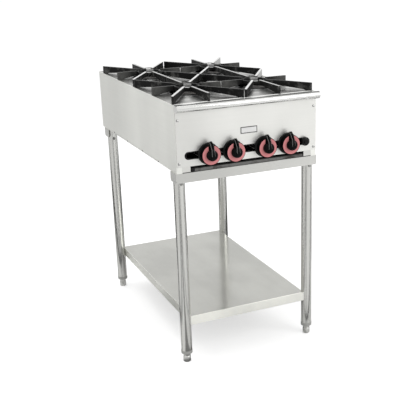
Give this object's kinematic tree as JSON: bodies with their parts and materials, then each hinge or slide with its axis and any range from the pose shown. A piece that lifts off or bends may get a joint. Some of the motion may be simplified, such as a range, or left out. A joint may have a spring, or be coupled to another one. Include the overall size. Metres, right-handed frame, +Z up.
{
  "type": "four-burner gas stove",
  "caption": "Free-standing gas stove in stainless steel with cast star grates over open burners, front knobs, drip tray, tube legs and an undershelf.",
  "frame": {"origin": "centre of the bounding box's bottom face, on the floor under the middle of the stove", "axes": "+X to the stove's right seen from the front, +Y to its rear, +Z up; the knobs face -Y"},
  "size_m": [0.516, 0.9292, 0.9318],
  "materials": {
    "brushed_stainless": "vertically brushed",
    "bright_stainless": "bright satin",
    "galvanised": "dull zinc coat",
    "tray_steel": "heat-dulled",
    "screw_steel": "plain bright",
    "dark_screw": "black oxide",
    "grate_iron": "seasoned black",
    "burner_iron": "raw casting",
    "pipe_black": "black lacquer",
    "brass": "machined",
    "knob_black": "glossy",
    "ring_red": "printed red",
    "cap_black": "glossy",
    "collar_black": "moulded",
    "foot_metal": "plated"
  },
  "bodies": {
    "stove": {"base_frame": "brushed_stainless", "burner_rails": "galvanised", "front_panel": "bright_stainless", "front_rail": "bright_stainless", "gas_inlet": "brass", "gas_port_cap": "cap_black", "gas_port_elbow": "pipe_black", "gas_valves": "brass", "leg_collars": "collar_black", "leg_front_left": "brushed_stainless", "leg_front_right": "brushed_stainless", "leg_rear_left": "brushed_stainless", "leg_rear_right": "brushed_stainless", "manifold_brackets": "galvanised", "manifold_pipe": "pipe_black", "orifice_hoods": "brass", "panel_screws": "screw_steel", "rear_panel": "galvanised", "shelf_clamps": "galvanised", "side_panel_left": "brushed_stainless", "side_panel_right": "brushed_stainless", "side_rivets": "dark_screw", "stand_rail_front": "brushed_stainless", "stand_rail_rear": "brushed_stainless", "stand_screws": "dark_screw", "supply_elbow": "pipe_black", "supply_pipe": "pipe_black", "top_deck": "bright_stainless", "tray_guides": "galvanised", "undershelf": "brushed_stainless", "burner_1": "burner_iron", "burner_2": "burner_iron", "burner_3": "burner_iron", "burner_4": "burner_iron"},
    "knob_1": {"knob_1": "knob_black", "knob_ring_1": "ring_red", "valve_stem_1": "screw_steel"},
    "knob_2": {"knob_2": "knob_black", "knob_ring_2": "ring_red", "valve_stem_2": "screw_steel"},
    "knob_3": {"knob_3": "knob_black", "knob_ring_3": "ring_red", "valve_stem_3": "screw_steel"},
    "knob_4": {"knob_4": "knob_black", "knob_ring_4": "ring_red", "valve_stem_4": "screw_steel"},
    "air_shutter_1": {"air_shutter_1": "galvanised"},
    "air_shutter_2": {"air_shutter_2": "galvanised"},
    "air_shutter_3": {"air_shutter_3": "galvanised"},
    "air_shutter_4": {"air_shutter_4": "galvanised"},
    "grate_1": {"grate_1": "grate_iron"},
    "grate_2": {"grate_2": "grate_iron"},
    "grate_3": {"grate_3": "grate_iron"},
    "grate_4": {"grate_4": "grate_iron"},
    "drip_tray": {"drip_tray": "tray_steel"},
    "foot_front_left": {"foot_front_left": "foot_metal"},
    "foot_front_right": {"foot_front_right": "foot_metal"},
    "foot_rear_left": {"foot_rear_left": "foot_metal"},
    "foot_rear_right": {"foot_rear_right": "foot_metal"}
  },
  "joints": [
    {"name": "knob_1_turn", "type": "hinge", "parent": "stove", "child": "knob_1", "pos_m": [-0.1445, -0.4254, 0.74], "axis": [0, -1, 0], "range_deg": [0, 90]},
    {"name": "knob_2_turn", "type": "hinge", "parent": "stove", "child": "knob_2", "pos_m": [-0.0575, -0.4254, 0.74], "axis": [0, -1, 0], "range_deg": [0, 90]},
    {"name": "knob_3_turn", "type": "hinge", "parent": "stove", "child": "knob_3", "pos_m": [0.0575, -0.4254, 0.74], "axis": [0, -1, 0], "range_deg": [0, 90]},
    {"name": "knob_4_turn", "type": "hinge", "parent": "stove", "child": "knob_4", "pos_m": [0.1445, -0.4254, 0.74], "axis": [0, -1, 0], "range_deg": [0, 90]},
    {"name": "air_shutter_1_turn", "type": "hinge", "parent": "stove", "child": "air_shutter_1", "pos_m": [-0.1445, -0.3404, 0.74], "axis": [0, -1, 0], "range_deg": [0, 60]},
    {"name": "air_shutter_2_turn", "type": "hinge", "parent": "stove", "child": "air_shutter_2", "pos_m": [-0.0575, -0.3404, 0.74], "axis": [0, -1, 0], "range_deg": [0, 60]},
    {"name": "air_shutter_3_turn", "type": "hinge", "parent": "stove", "child": "air_shutter_3", "pos_m": [0.0575, -0.3404, 0.74], "axis": [0, -1, 0], "range_deg": [0, 60]},
    {"name": "air_shutter_4_turn", "type": "hinge", "parent": "stove", "child": "air_shutter_4", "pos_m": [0.1445, -0.3404, 0.74], "axis": [0, -1, 0], "range_deg": [0, 60]},
    {"name": "grate_1_lift", "type": "slide", "parent": "stove", "child": "grate_1", "axis": [0, 0, 1], "range_m": [0, 0.08]},
    {"name": "grate_2_lift", "type": "slide", "parent": "stove", "child": "grate_2", "axis": [0, 0, 1], "range_m": [0, 0.08]},
    {"name": "grate_3_lift", "type": "slide", "parent": "stove", "child": "grate_3", "axis": [0, 0, 1], "range_m": [0, 0.08]},
    {"name": "grate_4_lift", "type": "slide", "parent": "stove", "child": "grate_4", "axis": [0, 0, 1], "range_m": [0, 0.08]},
    {"name": "drip_tray_pull", "type": "slide", "parent": "stove", "child": "drip_tray", "axis": [0, -1, 0], "range_m": [0, 0.5]},
    {"name": "foot_front_left_level", "type": "slide", "parent": "stove", "child": "foot_front_left", "axis": [0, 0, -1], "range_m": [0, 0.015]},
    {"name": "foot_front_right_level", "type": "slide", "parent": "stove", "child": "foot_front_right", "axis": [0, 0, -1], "range_m": [0, 0.015]},
    {"name": "foot_rear_left_level", "type": "slide", "parent": "stove", "child": "foot_rear_left", "axis": [0, 0, -1], "range_m": [0, 0.015]},
    {"name": "foot_rear_right_level", "type": "slide", "parent": "stove", "child": "foot_rear_right", "axis": [0, 0, -1], "range_m": [0, 0.015]}
  ]
}
